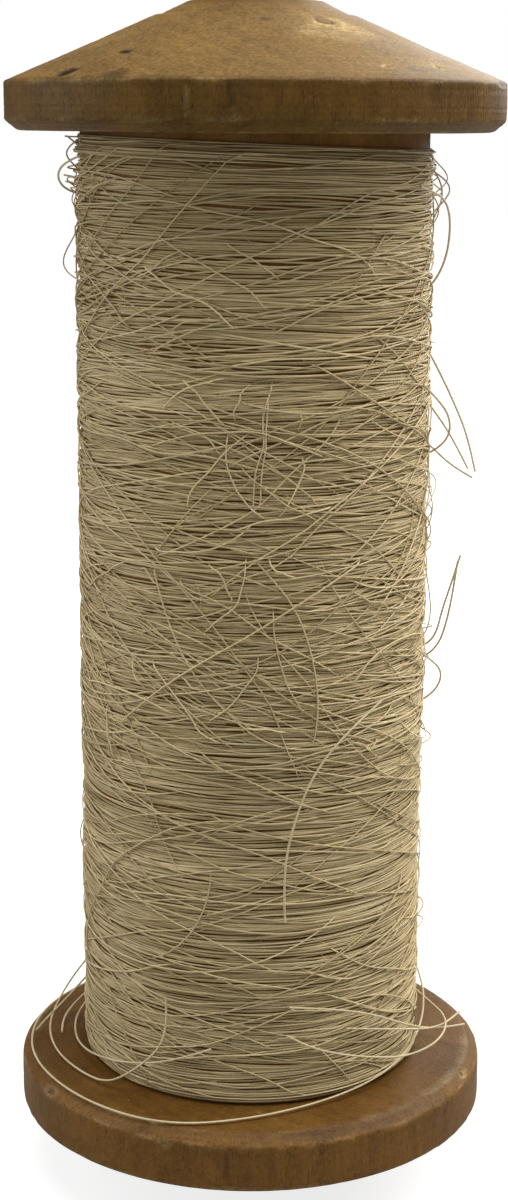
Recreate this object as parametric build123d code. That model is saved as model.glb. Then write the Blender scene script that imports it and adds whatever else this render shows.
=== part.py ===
from build123d import *
import math
import os

# Turned wooden bobbin wound with one thin layer of coarse natural fibre yarn.
# Millimetres, +Z up. The origin is the middle of the lower hub's end face, which the bobbin stands on.

# heads
head_radius = 45.0
upper_rim_height = 6.7
lower_rim_height = 8.5       # hand-turned, so a little thicker than the upper one
rim_chamfer_height = 1.9
rim_chamfer_width = 2.3
cone_height = 11.5           # rim edge to shoulder, along Z
shoulder_radius = 18.0
hub_base_radius = 17.2
hub_radius = 12.0            # flat end face
hub_height = 2.5             # shoulder to hub end face

# barrel and its joint to the heads
barrel_radius = 31.6
barrel_length = 174.8
tenon_radius = 12.0
tenon_length = 11.6
socket_end_gap = 0.4
barrel_bore_radius = 8.0
wood_clearance = 0.05

# flanged bushes
spindle_bore_radius = 5.0
sleeve_wall = 1.5
sleeve_length = 9.0
flange_radius = 11.0
flange_thickness = 1.2
bush_clearance = 0.05

# brads that hold a bush flange
pin_count = 3
pin_radius = 0.6
pin_length = 6.0
pin_head_radius = 1.1
pin_head_height = 0.5

# sunk brads that hold a head to the barrel end, placed by the degrees round from the front
nail_circle_radius = 21.3
upper_nail_angles = (4.0, 33.0, 184.0, 213.0)
lower_nail_angles = (20.0, 49.0, 200.0, 229.0)
nail_radius = 0.9
nail_length = 29.0
nail_head_radius = 1.3
nail_head_height = 1.0
nail_sink = 0.3
nail_clearance = 0.05

# winding
yarn_diameter = 0.4
winding_depth = 0.65
winding_clearance = 0.05
winding_end_gap = 0.2
winding_top_slope = 2.6      # how much lower the winding ends on the +X side

# derived heights
hub_rise = cone_height + hub_height
lower_face_z = hub_rise + lower_rim_height + rim_chamfer_height
upper_face_z = lower_face_z + barrel_length
sleeve_radius = spindle_bore_radius + sleeve_wall
pin_circle_radius = (sleeve_radius + flange_radius) / 2
package_radius = barrel_radius + winding_clearance + winding_depth


def cone_rise(radius):
    """Height of the cone above the rim edge at a radius."""
    return cone_height * (head_radius - radius) / (head_radius - shoulder_radius)


def rod(radius, bottom, length, x=0.0, y=0.0):
    """Upright cylinder standing at a height."""
    return Pos(x, y, bottom) * Cylinder(radius, length, align=(Align.CENTER, Align.CENTER, Align.MIN))


def ring_places(circle_radius, angles):
    """Places round the axis, by degrees from the front (-Y) towards +X."""
    turns = [math.radians(angle) for angle in angles]
    return [(circle_radius * math.sin(turn), -circle_radius * math.cos(turn)) for turn in turns]


def pin_places():
    """Places of the bush pins."""
    return ring_places(pin_circle_radius, [360.0 * step / pin_count for step in range(pin_count)])


def face_down(shape):
    """Turn a head's piece, modelled outward along +Z from its inner face, into the lower head's place."""
    return Pos(0, 0, lower_face_z) * (Rot(180, 0, 0) * shape)


def face_up(shape):
    """Move a head's piece, modelled outward along +Z from its inner face, to the upper head's place."""
    return Pos(0, 0, upper_face_z) * shape


def make_head(rim_height, nail_angles):
    """Turned disc with a conical outer face and a tapered hub, modelled outward from its inner face."""
    edge_z = rim_chamfer_height + rim_height
    outline = Polyline(
        (0, 0),
        (head_radius - rim_chamfer_width, 0),
        (head_radius, rim_chamfer_height),
        (head_radius, edge_z),
        (shoulder_radius, edge_z + cone_height),
        (hub_base_radius, edge_z + cone_height),
        (hub_radius, edge_z + hub_rise),
        (0, edge_z + hub_rise),
        close=True,
    )
    end_z = edge_z + hub_rise
    head = revolve(Plane.XZ * make_face(outline), Axis.Z)
    head -= rod(tenon_radius + wood_clearance, 0, tenon_length + socket_end_gap)
    head -= rod(sleeve_radius + bush_clearance, 0, end_z)
    head -= rod(flange_radius + bush_clearance, end_z - flange_thickness, flange_thickness)
    for x, y in pin_places():
        head -= rod(pin_radius, end_z - flange_thickness - pin_length, pin_length, x, y)
    for x, y in ring_places(nail_circle_radius, nail_angles):
        seat_z = nail_top(edge_z) - nail_head_height
        head -= rod(nail_radius + nail_clearance, 0, end_z, x, y)
        head -= rod(nail_head_radius + nail_clearance, seat_z, end_z, x, y)
    return head


def nail_top(edge_z):
    """Height of a sunk nail's head above the head's inner face."""
    return edge_z + cone_rise(nail_circle_radius + nail_head_radius) - nail_sink


def make_nails(rim_height, nail_angles):
    """Brads through a head into the barrel's end, in the head's own outward direction."""
    top_z = nail_top(rim_chamfer_height + rim_height)
    seat_z = top_z - nail_head_height
    nails = []
    for x, y in ring_places(nail_circle_radius, nail_angles):
        nail = rod(nail_head_radius, seat_z, nail_head_height, x, y)
        nail += rod(nail_radius, top_z - nail_length, nail_length, x, y)
        nails.append(nail)
    return Compound(nails)


def make_bush(rim_height):
    """Flanged sleeve pressed into a hub, with a countersunk hole for each pin."""
    end_z = rim_chamfer_height + rim_height + hub_rise
    under_z = end_z - flange_thickness
    bush = rod(flange_radius, under_z, flange_thickness)
    bush += rod(sleeve_radius, under_z - sleeve_length, sleeve_length)
    bush -= rod(spindle_bore_radius, under_z - sleeve_length, sleeve_length + flange_thickness)
    for x, y in pin_places():
        bush -= rod(pin_radius + bush_clearance, under_z, flange_thickness, x, y)
        bush -= rod(pin_head_radius + bush_clearance, end_z - pin_head_height, pin_head_height, x, y)
    return bush


def make_pins(rim_height):
    """Brads through a bush flange into the hub."""
    end_z = rim_chamfer_height + rim_height + hub_rise
    foot_z = end_z - flange_thickness - pin_length
    pins = []
    for x, y in pin_places():
        pin = rod(pin_head_radius, end_z - pin_head_height, pin_head_height, x, y)
        pin += rod(pin_radius - bush_clearance, foot_z, end_z - foot_z, x, y)
        pins.append(pin)
    return Compound(pins)


def make_barrel():
    """Turned core with a tenon at each end, a spindle bore and a hole for each nail."""
    barrel = rod(barrel_radius, lower_face_z, barrel_length)
    barrel += rod(tenon_radius, lower_face_z - tenon_length, barrel_length + 2 * tenon_length)
    barrel -= rod(barrel_bore_radius, lower_face_z - tenon_length, barrel_length + 2 * tenon_length)
    lower_depth = nail_length - nail_top(rim_chamfer_height + lower_rim_height)
    upper_depth = nail_length - nail_top(rim_chamfer_height + upper_rim_height)
    hole_radius = nail_radius + nail_clearance
    for x, y in ring_places(nail_circle_radius, upper_nail_angles):
        barrel -= rod(hole_radius, upper_face_z - upper_depth, upper_depth, x, y)
    for x, y in ring_places(nail_circle_radius, lower_nail_angles):
        barrel -= rod(hole_radius, lower_face_z, lower_depth, x, -y)
    return barrel


def make_winding():
    """Wound layer as one closed tube, cut off at a slope below the upper head."""
    length = barrel_length - 2 * winding_end_gap
    winding = rod(package_radius, lower_face_z + winding_end_gap, length)
    winding -= rod(barrel_radius + winding_clearance, lower_face_z + winding_end_gap, length)
    slope = math.degrees(math.atan2(winding_top_slope, 2 * package_radius))
    cut_size = 4 * package_radius
    cutter = Box(cut_size, cut_size, cut_size, align=(Align.CENTER, Align.CENTER, Align.MIN))
    cut_z = upper_face_z - winding_end_gap - winding_top_slope / 2
    return winding - Pos(0, 0, cut_z) * (Rot(0, slope, 0) * cutter)


# Loose strands: slack turns, loops and free ends, each from its exit off the winding to its far end.
loose_strands = {
    "slack_turn": [
        (30.2, 14.0, 40.5), (34.0, 3.0, 36.5), (33.8, -8.6, 31.2), (28.6, -19.6, 27.4),
        (18.6, -29.4, 25.6), (2.0, -38.5, 25.0), (-15.5, -41.6, 24.9), (-31.4, -31.4, 24.9),
        (-42.4, -14.0, 25.1), (-43.4, 4.0, 25.6), (-36.0, 19.0, 26.2), (-22.0, 30.0, 26.8),
        (-5.0, 35.5, 27.8), (11.0, 33.5, 29.6), (22.0, 26.0, 32.0), (28.0, 17.6, 34.4),
    ],
    "left_loop": [
        (-15.6, -29.6, 44.6), (-15.2, -30.6, 39.4), (-17.0, -31.0, 34.4), (-22.5, -28.0, 28.6),
        (-26.9, -25.0, 25.3), (-31.5, -20.6, 25.0), (-36.5, -13.2, 25.1), (-39.3, -4.8, 25.0),
        (-40.2, 3.0, 25.4), (-38.4, 9.4, 28.2), (-34.8, 11.0, 33.4), (-31.6, 10.6, 37.4),
    ],
    "inner_left_loop": [
        (-31.8, 10.0, 28.5), (-34.8, 6.4, 26.0), (-35.0, -0.5, 25.2), (-33.3, -9.0, 25.7),
        (-29.2, -17.6, 27.2), (-22.4, -25.4, 29.3), (-14.0, -31.0, 32.5), (-7.2, -32.8, 35.8),
    ],
    "left_tail": [
        (-23.3, 23.6, 36.6), (-28.2, 17.7, 34.9), (-33.0, 11.9, 31.6), (-37.4, 5.8, 28.4),
        (-40.4, 1.4, 26.8), (-42.3, -2.8, 25.8),
    ],
    "left_tail_inner": [
        (-24.0, 22.9, 31.0), (-29.2, 18.0, 29.0), (-33.5, 12.6, 27.5), (-36.4, 7.4, 26.2),
        (-37.6, 1.8, 25.7), (-37.2, -3.0, 25.5),
    ],
    "right_tail": [
        (7.0, -32.6, 43.9), (14.5, -30.6, 42.8), (21.6, -26.4, 40.2), (27.5, -20.8, 36.0),
        (32.2, -14.2, 31.9), (37.0, -9.0, 29.4), (41.9, -4.8, 28.4),
    ],
    "right_tail_short": [
        (17.6, -28.4, 38.0), (23.6, -24.6, 36.2), (30.0, -18.4, 33.4), (35.0, -12.6, 31.0),
        (38.5, -7.8, 30.3), (41.0, -3.6, 30.5),
    ],
    "right_loop": [
        (32.6, 5.6, 31.6), (35.8, -0.6, 31.0), (37.7, -8.4, 31.8), (37.4, -14.8, 31.7),
        (34.4, -20.4, 31.0), (29.0, -23.6, 30.2), (23.2, -26.6, 31.4), (16.8, -29.8, 33.4),
        (10.6, -32.3, 36.0), (6.6, -33.0, 38.6),
    ],
    "front_end": [
        (23.2, -24.0, 99.4), (17.0, -29.7, 95.4), (11.0, -32.7, 88.6), (7.4, -33.7, 79.4),
        (5.6, -33.9, 69.6), (6.1, -33.7, 60.8),
    ],
    "low_right_bow": [
        (29.9, -14.6, 107.0), (33.2, -9.4, 103.4), (35.6, -3.0, 100.0), (36.4, 3.6, 96.0),
        (35.4, 9.4, 91.8), (32.2, 13.8, 88.2), (28.6, 17.4, 86.2),
    ],
    "tuft_end": [
        (27.6, 18.4, 98.8), (30.8, 13.2, 100.4), (33.6, 7.6, 101.8), (35.2, 2.8, 105.4),
        (36.0, 0.6, 110.6), (37.6, -0.4, 116.2), (39.0, -1.4, 121.6),
    ],
    "tuft_end_outer": [
        (28.8, 16.8, 95.5), (33.0, 11.6, 98.0), (36.0, 6.8, 102.0), (37.2, 3.4, 107.6),
        (38.1, 1.9, 113.8), (38.8, 1.3, 119.9),
    ],
    "mid_right_tail": [
        (25.2, 22.0, 158.4), (29.6, 17.2, 153.4), (33.6, 11.9, 148.4), (37.7, 7.3, 142.8),
        (40.5, 4.0, 137.2),
    ],
    "mid_right_outer": [
        (26.6, 20.2, 168.0), (31.0, 14.9, 162.4), (34.6, 9.4, 156.0), (37.7, 5.1, 149.6),
        (40.2, 1.6, 143.4), (41.4, -0.7, 137.4),
    ],
    "mid_right_end": [
        (18.8, 27.6, 148.0), (24.3, 23.2, 146.8), (29.2, 18.1, 144.2), (34.4, 12.2, 139.9),
        (38.1, 8.2, 136.8), (41.4, 4.6, 135.4),
    ],
    "mid_right_bow": [
        (30.4, -13.9, 155.2), (33.6, -8.6, 151.8), (36.2, -2.6, 148.0), (36.9, 3.4, 143.6),
        (34.9, 9.0, 139.9), (31.3, 13.2, 137.4),
    ],
    "upper_right_bow": [
        (28.9, -16.6, 190.0), (32.6, -10.6, 188.8), (35.0, -4.0, 186.0), (35.9, 2.0, 181.4),
        (35.6, 7.0, 175.8), (33.6, 11.5, 170.8), (30.3, 14.4, 167.4),
    ],
    "upper_left_bow": [
        (-30.5, -13.6, 195.0), (-33.8, -7.2, 193.8), (-35.9, -0.4, 191.4), (-35.4, 6.2, 188.8),
        (-32.0, 11.6, 187.2), (-28.6, 17.2, 186.8),
    ],
}


def bend_radii(points):
    """Radius at each inner point: 0.45 of the shorter run over the tangent of half the turn."""
    radii = []
    for before, here, after in zip(points, points[1:], points[2:]):
        run_in = Vector(*here) - Vector(*before)
        run_out = Vector(*after) - Vector(*here)
        half_turn = math.radians(run_in.get_angle(run_out)) / 2
        radii.append(0.45 * min(run_in.length, run_out.length) / math.tan(half_turn))
    return radii


def make_strand(name, points):
    """Round tube along straight runs joined by tangent arcs."""
    radii = bend_radii(points)
    route = FilletPolyline(*points, radius=radii)
    tube = sweep(Plane(route @ 0, z_dir=route % 0) * Circle(yarn_diameter / 2), path=route)
    section = math.pi * yarn_diameter ** 2 / 4
    shares = tube.volume / (section * route.length)
    print(f"{name}: length {route.length:.1f}, volume share {shares:.4f}, radii",
          [round(radius, 1) for radius in radii])
    return tube


nodes = {
    "barrel": make_barrel(),
    "upper_head": face_up(make_head(upper_rim_height, upper_nail_angles)),
    "lower_head": face_down(make_head(lower_rim_height, lower_nail_angles)),
    "upper_head_nails": face_up(make_nails(upper_rim_height, upper_nail_angles)),
    "lower_head_nails": face_down(make_nails(lower_rim_height, lower_nail_angles)),
    "upper_bush": face_up(make_bush(upper_rim_height)),
    "lower_bush": face_down(make_bush(lower_rim_height)),
    "upper_bush_pins": face_up(make_pins(upper_rim_height)),
    "lower_bush_pins": face_down(make_pins(lower_rim_height)),
    "yarn_package": make_winding(),
}
for strand_name, strand_points in loose_strands.items():
    nodes[strand_name] = make_strand(strand_name, strand_points)

os.makedirs("parts", exist_ok=True)
for node_name, shape in nodes.items():
    export_step(shape, f"parts/{node_name}.step")
print("overall height", round(upper_face_z + rim_chamfer_height + upper_rim_height + hub_rise, 2))
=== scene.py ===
import bpy
import math
import numpy as np
from mathutils import Matrix, Vector


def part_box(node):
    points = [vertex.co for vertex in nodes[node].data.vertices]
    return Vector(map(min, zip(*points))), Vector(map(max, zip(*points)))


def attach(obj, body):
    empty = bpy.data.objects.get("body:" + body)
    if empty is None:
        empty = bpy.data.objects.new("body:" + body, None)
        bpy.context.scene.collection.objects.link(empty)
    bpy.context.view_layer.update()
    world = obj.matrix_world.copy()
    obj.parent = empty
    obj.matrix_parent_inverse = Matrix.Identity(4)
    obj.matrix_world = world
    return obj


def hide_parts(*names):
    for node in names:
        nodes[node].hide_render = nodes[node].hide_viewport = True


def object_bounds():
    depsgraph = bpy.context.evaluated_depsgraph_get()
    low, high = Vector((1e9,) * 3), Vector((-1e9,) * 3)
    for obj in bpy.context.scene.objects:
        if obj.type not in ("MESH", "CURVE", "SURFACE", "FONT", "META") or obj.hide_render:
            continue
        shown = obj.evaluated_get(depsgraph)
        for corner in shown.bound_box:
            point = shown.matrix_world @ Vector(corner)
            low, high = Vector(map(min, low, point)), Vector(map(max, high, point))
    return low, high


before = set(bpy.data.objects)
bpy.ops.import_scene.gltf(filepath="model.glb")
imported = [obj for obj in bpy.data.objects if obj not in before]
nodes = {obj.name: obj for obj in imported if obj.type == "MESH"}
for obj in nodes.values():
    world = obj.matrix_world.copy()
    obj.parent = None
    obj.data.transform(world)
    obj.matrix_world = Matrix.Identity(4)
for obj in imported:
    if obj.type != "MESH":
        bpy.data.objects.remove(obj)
cadLow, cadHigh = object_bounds()
scene = bpy.context.scene
millimetre = 0.001    # in metres
perMetre = 1000       # millimetres
print("stage: frame loaded")

# camera: metres and degrees, on the -Y side, looking down a little
cameraSettings = {
    "distance": 0.39197,
    "height": 0.20211,
    "lookDown": 12.885,
    "roll": 0.28,
    "lens": 63.63,
    "sensor": 36.0,
    "shiftX": 0.0011,
    "nearest": 0.01,
    "farthest": 20.0,
}


def makeCamera(settings):
    data = bpy.data.cameras.new("bobbinCamera")
    data.sensor_width = settings["sensor"]
    data.lens = settings["lens"]
    data.shift_x = settings["shiftX"]
    data.clip_start = settings["nearest"]
    data.clip_end = settings["farthest"]
    camera = bpy.data.objects.new("bobbinCamera", data)
    scene.collection.objects.link(camera)
    # tip up from straight down, then roll about the line of sight
    tip = Matrix.Rotation(math.radians(90.0 - settings["lookDown"]), 4, "X")
    roll = Matrix.Rotation(math.radians(settings["roll"]), 4, "Z")
    place = Matrix.Translation((0.0, -settings["distance"], settings["height"]))
    camera.matrix_world = place @ tip @ roll
    scene.camera = camera


makeCamera(cameraSettings)


# a value set on a node's socket, or another node's output linked to it
def feed(tree, socket, value):
    if isinstance(value, bpy.types.NodeSocket):
        tree.links.new(value, socket)
    else:
        socket.default_value = value


def addNode(tree, kind, inputs=None, **values):
    node = tree.nodes.new(kind)
    for name, value in values.items():
        setattr(node, name, value)
    for key, value in (inputs or {}).items():
        feed(tree, node.inputs[key], value)
    return node


def mathNode(tree, operation, first, second=0.5, third=0.5, clamp=False):
    inputs = {0: first, 1: second, 2: third}
    return addNode(tree, "ShaderNodeMath", inputs, operation=operation, use_clamp=clamp).outputs[0]


# start + value * share + value * share and so on
def weighted(tree, start, parts):
    for value, share in parts:
        start = mathNode(tree, "MULTIPLY_ADD", value, share, start)
    return start


def mixColour(tree, factor, first, second):
    return addNode(tree, "ShaderNodeMix", {0: factor, 6: first, 7: second}, data_type="RGBA").outputs[2]


# a value carried from one range to another, held at the ends
def ranged(tree, value, low, high, toLow=0.0, toHigh=1.0, smooth=False):
    node = addNode(tree, "ShaderNodeMapRange", {"Value": value, "From Min": low, "From Max": high,
                                                "To Min": toLow, "To Max": toHigh})
    node.interpolation_type = "SMOOTHSTEP" if smooth else "LINEAR"
    return node.outputs["Result"]


def noiseNode(tree, vector, scale, detail=3.0, roughness=0.55, distortion=0.0):
    node = addNode(tree, "ShaderNodeTexNoise", {"Vector": vector, "Scale": scale, "Detail": detail,
                                                "Roughness": roughness, "Distortion": distortion})
    return node.outputs["Fac"]


def lineNoiseNode(tree, place, scale, detail, roughness=0.5):
    node = addNode(tree, "ShaderNodeTexNoise", {"W": place, "Scale": scale, "Detail": detail,
                                                "Roughness": roughness}, noise_dimensions="1D")
    return node.outputs["Fac"]


def scaled(tree, vector, amounts):
    return addNode(tree, "ShaderNodeMapping", {"Vector": vector, "Scale": amounts}).outputs["Vector"]


def lengthOf(tree, vector):
    return addNode(tree, "ShaderNodeVectorMath", {0: vector}, operation="LENGTH").outputs["Value"]


def heightOf(tree, point):
    return addNode(tree, "ShaderNodeSeparateXYZ", {"Vector": point}).outputs["Z"]


def objectPoint(tree):
    return addNode(tree, "ShaderNodeTexCoord").outputs["Object"]


def newGroup(name, inputs, outputs):
    group = bpy.data.node_groups.new(name, "ShaderNodeTree")
    for label, kind, value in inputs:
        socket = group.interface.new_socket(label, in_out="INPUT", socket_type="NodeSocket" + kind)
        if value is not None:
            socket.default_value = value
    for label, kind in outputs:
        group.interface.new_socket(label, in_out="OUTPUT", socket_type="NodeSocket" + kind)
    return group, group.nodes.new("NodeGroupInput").outputs, group.nodes.new("NodeGroupOutput").inputs


def newMaterial(name):
    material = bpy.data.materials.new(name)
    material.use_nodes = True
    tree = material.node_tree
    return material, tree, tree.nodes["Principled BSDF"]


# a group placed in a material, its colour, gloss and relief carried to the shader: the depth is in metres
def useGroup(tree, shader, group, inputs, strength, depth):
    made = addNode(tree, "ShaderNodeGroup", inputs, node_tree=group).outputs
    relief = {"Strength": strength, "Distance": depth, "Height": made["Height"]}
    bump = addNode(tree, "ShaderNodeBump", relief)
    feed(tree, shader.inputs["Base Color"], made["Color"])
    feed(tree, shader.inputs["Roughness"], made["Gloss"])
    feed(tree, shader.inputs["Normal"], bump.outputs["Normal"])
    return made


yarnLook = {
    "pale": (0.77, 0.63, 0.362, 1.0),
    "deep": (0.31, 0.215, 0.080, 1.0),
    "loosePale": (0.76, 0.65, 0.42, 1.0),
    "looseDeep": (0.42, 0.33, 0.17, 1.0),
    "darker": 0.17,             # taken off the tone of every wound thread
    "soil": 0.35,               # broad soiled places
    # painted shade under the upper head
    "upperShade": 0.16,          # added towards the winding's upper end
    "upperFrom": 0.165,         # heights between which it comes in, in metres
    "upperTo": 0.199,
}


# plant-fibre yarn: long fine fibres, soft slubs and paler worn places along a thread
def makeFibreGroup():
    group, given, out = newGroup(
        "fibreYarn",
        [("Vector", "Vector", None), ("Tone", "Float", 0.0), ("Pale", "Color", (0.5, 0.4, 0.2, 1)),
         ("Deep", "Color", (0.2, 0.14, 0.06, 1)), ("Fine", "Float", 1.0)],
        [("Color", "Color"), ("Height", "Float"), ("Gloss", "Float")])
    fibres = noiseNode(group, given["Vector"], given["Fine"], 4.0, 0.62)
    slubs = noiseNode(group, given["Vector"], mathNode(group, "MULTIPLY", given["Fine"], 0.11), 2.0, 0.5)
    pale = ranged(group, weighted(group, given["Tone"], ((fibres, 0.75), (slubs, 0.7))), 0.25, 1.15)
    feed(group, out["Color"], mixColour(group, pale, given["Deep"], given["Pale"]))
    feed(group, out["Height"], fibres)
    feed(group, out["Gloss"], ranged(group, slubs, 0.3, 0.7, 0.42, 0.62))
    return group


fibreGroup = makeFibreGroup()


def makeLooseYarnMaterial(look):
    material, tree, shader = newMaterial("looseYarn")
    inputs = {"Vector": objectPoint(tree), "Fine": 2600.0, "Tone": 0.0,
              "Pale": look["loosePale"], "Deep": look["looseDeep"]}
    useGroup(tree, shader, fibreGroup, inputs, 0.5, 0.00008)
    return material


looseYarnMaterial = makeLooseYarnMaterial(yarnLook)

# loose strands: control points in metres, the strand's real length and what its far end is
yarnDiameter = 0.0004
looseStrands = {
    "slackTurn": {
        "node": "slack_turn", "length": 0.2356, "farEnd": "object",
        "points": [
            (0.0302, 0.0140, 0.0405), (0.0340, 0.0030, 0.0365), (0.0338, -0.0086, 0.0312),
            (0.0286, -0.0196, 0.0274), (0.0186, -0.0294, 0.0256), (0.0020, -0.0385, 0.0250),
            (-0.0155, -0.0416, 0.0249), (-0.0314, -0.0314, 0.0249), (-0.0424, -0.0140, 0.0251),
            (-0.0434, 0.0040, 0.0256), (-0.0360, 0.0190, 0.0262), (-0.0220, 0.0300, 0.0268),
            (-0.0050, 0.0355, 0.0278), (0.0110, 0.0335, 0.0296), (0.0220, 0.0260, 0.0320),
            (0.0280, 0.0176, 0.0344),
        ],
    },
    "leftLoop": {
        "node": "left_loop", "length": 0.0753, "farEnd": "object",
        "points": [
            (-0.0156, -0.0296, 0.0446), (-0.0152, -0.0306, 0.0394), (-0.0170, -0.0310, 0.0344),
            (-0.0225, -0.0280, 0.0286), (-0.0269, -0.0250, 0.0253), (-0.0315, -0.0206, 0.0250),
            (-0.0365, -0.0132, 0.0251), (-0.0393, -0.0048, 0.0250), (-0.0402, 0.0030, 0.0254),
            (-0.0384, 0.0094, 0.0282), (-0.0348, 0.0110, 0.0334), (-0.0316, 0.0106, 0.0374),
        ],
    },
    "innerLeftLoop": {
        "node": "inner_left_loop", "length": 0.0590, "farEnd": "object",
        "points": [
            (-0.0318, 0.0100, 0.0285), (-0.0348, 0.0064, 0.0260), (-0.0350, -0.0005, 0.0252),
            (-0.0333, -0.0090, 0.0257), (-0.0292, -0.0176, 0.0272), (-0.0224, -0.0254, 0.0293),
            (-0.0140, -0.0310, 0.0325), (-0.0072, -0.0328, 0.0358),
        ],
    },
    "leftTail": {
        "node": "left_tail", "length": 0.0345, "farEnd": "bare",
        "points": [
            (-0.0233, 0.0236, 0.0366), (-0.0282, 0.0177, 0.0349), (-0.0330, 0.0119, 0.0316),
            (-0.0374, 0.0058, 0.0284), (-0.0404, 0.0014, 0.0268), (-0.0423, -0.0028, 0.0258),
        ],
    },
    "leftTailInner": {
        "node": "left_tail_inner", "length": 0.0310, "farEnd": "bare",
        "points": [
            (-0.0240, 0.0229, 0.0310), (-0.0292, 0.0180, 0.0290), (-0.0335, 0.0126, 0.0275),
            (-0.0364, 0.0074, 0.0262), (-0.0376, 0.0018, 0.0257), (-0.0372, -0.0030, 0.0255),
        ],
    },
    "rightTail": {
        "node": "right_tail", "length": 0.0486, "farEnd": "bare",
        "points": [
            (0.0070, -0.0326, 0.0439), (0.0145, -0.0306, 0.0428), (0.0216, -0.0264, 0.0402),
            (0.0275, -0.0208, 0.0360), (0.0322, -0.0142, 0.0319), (0.0370, -0.0090, 0.0294),
            (0.0419, -0.0048, 0.0284),
        ],
    },
    "rightTailShort": {
        "node": "right_tail_short", "length": 0.0355, "farEnd": "bare",
        "points": [
            (0.0176, -0.0284, 0.0380), (0.0236, -0.0246, 0.0362), (0.0300, -0.0184, 0.0334),
            (0.0350, -0.0126, 0.0310), (0.0385, -0.0078, 0.0303), (0.0410, -0.0036, 0.0305),
        ],
    },
    "rightLoop": {
        "node": "right_loop", "length": 0.0598, "farEnd": "object",
        "points": [
            (0.0326, 0.0056, 0.0316), (0.0358, -0.0006, 0.0310), (0.0377, -0.0084, 0.0318),
            (0.0374, -0.0148, 0.0317), (0.0344, -0.0204, 0.0310), (0.0290, -0.0236, 0.0302),
            (0.0232, -0.0266, 0.0314), (0.0168, -0.0298, 0.0334), (0.0106, -0.0323, 0.0360),
            (0.0066, -0.0330, 0.0386),
        ],
    },
    "frontEnd": {
        "node": "front_end", "length": 0.0473, "farEnd": "bare",
        "points": [
            (0.0232, -0.0240, 0.0994), (0.0170, -0.0297, 0.0954), (0.0110, -0.0327, 0.0886),
            (0.0074, -0.0337, 0.0794), (0.0056, -0.0339, 0.0696), (0.0061, -0.0337, 0.0608),
        ],
    },
    "lowRightBow": {
        "node": "low_right_bow", "length": 0.0416, "farEnd": "object",
        "points": [
            (0.0299, -0.0146, 0.1070), (0.0332, -0.0094, 0.1034), (0.0356, -0.0030, 0.1000),
            (0.0364, 0.0036, 0.0960), (0.0354, 0.0094, 0.0918), (0.0322, 0.0138, 0.0882),
            (0.0286, 0.0174, 0.0862),
        ],
    },
    "tuftEnd": {
        "node": "tuft_end", "length": 0.0360, "farEnd": "bare",
        "points": [
            (0.0276, 0.0184, 0.0988), (0.0308, 0.0132, 0.1004), (0.0336, 0.0076, 0.1018),
            (0.0352, 0.0028, 0.1054), (0.0360, 0.0006, 0.1106), (0.0376, -0.0004, 0.1162),
            (0.0390, -0.0014, 0.1216),
        ],
    },
    "tuftEndOuter": {
        "node": "tuft_end_outer", "length": 0.0332, "farEnd": "bare",
        "points": [
            (0.0288, 0.0168, 0.0955), (0.0330, 0.0116, 0.0980), (0.0360, 0.0068, 0.1020),
            (0.0372, 0.0034, 0.1076), (0.0381, 0.0019, 0.1138), (0.0388, 0.0013, 0.1199),
        ],
    },
    "midRightTail": {
        "node": "mid_right_tail", "length": 0.0319, "farEnd": "bare",
        "points": [
            (0.0252, 0.0220, 0.1584), (0.0296, 0.0172, 0.1534), (0.0336, 0.0119, 0.1484),
            (0.0377, 0.0073, 0.1428), (0.0405, 0.0040, 0.1372),
        ],
    },
    "midRightOuter": {
        "node": "mid_right_outer", "length": 0.0404, "farEnd": "bare",
        "points": [
            (0.0266, 0.0202, 0.1680), (0.0310, 0.0149, 0.1624), (0.0346, 0.0094, 0.1560),
            (0.0377, 0.0051, 0.1496), (0.0402, 0.0016, 0.1434), (0.0414, -0.0007, 0.1374),
        ],
    },
    "midRightEnd": {
        "node": "mid_right_end", "length": 0.0349, "farEnd": "bare",
        "points": [
            (0.0188, 0.0276, 0.1480), (0.0243, 0.0232, 0.1468), (0.0292, 0.0181, 0.1442),
            (0.0344, 0.0122, 0.1399), (0.0381, 0.0082, 0.1368), (0.0414, 0.0046, 0.1354),
        ],
    },
    "midRightBow": {
        "node": "mid_right_bow", "length": 0.0350, "farEnd": "object",
        "points": [
            (0.0304, -0.0139, 0.1552), (0.0336, -0.0086, 0.1518), (0.0362, -0.0026, 0.1480),
            (0.0369, 0.0034, 0.1436), (0.0349, 0.0090, 0.1399), (0.0313, 0.0132, 0.1374),
        ],
    },
    "upperRightBow": {
        "node": "upper_right_bow", "length": 0.0422, "farEnd": "object",
        "points": [
            (0.0289, -0.0166, 0.1900), (0.0326, -0.0106, 0.1888), (0.0350, -0.0040, 0.1860),
            (0.0359, 0.0020, 0.1814), (0.0356, 0.0070, 0.1758), (0.0336, 0.0115, 0.1708),
            (0.0303, 0.0144, 0.1674),
        ],
    },
    "upperLeftBow": {
        "node": "upper_left_bow", "length": 0.0348, "farEnd": "object",
        "points": [
            (-0.0305, -0.0136, 0.1950), (-0.0338, -0.0072, 0.1938), (-0.0359, -0.0004, 0.1914),
            (-0.0354, 0.0062, 0.1888), (-0.0320, 0.0116, 0.1872), (-0.0286, 0.0172, 0.1868),
        ],
    },
}


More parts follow.
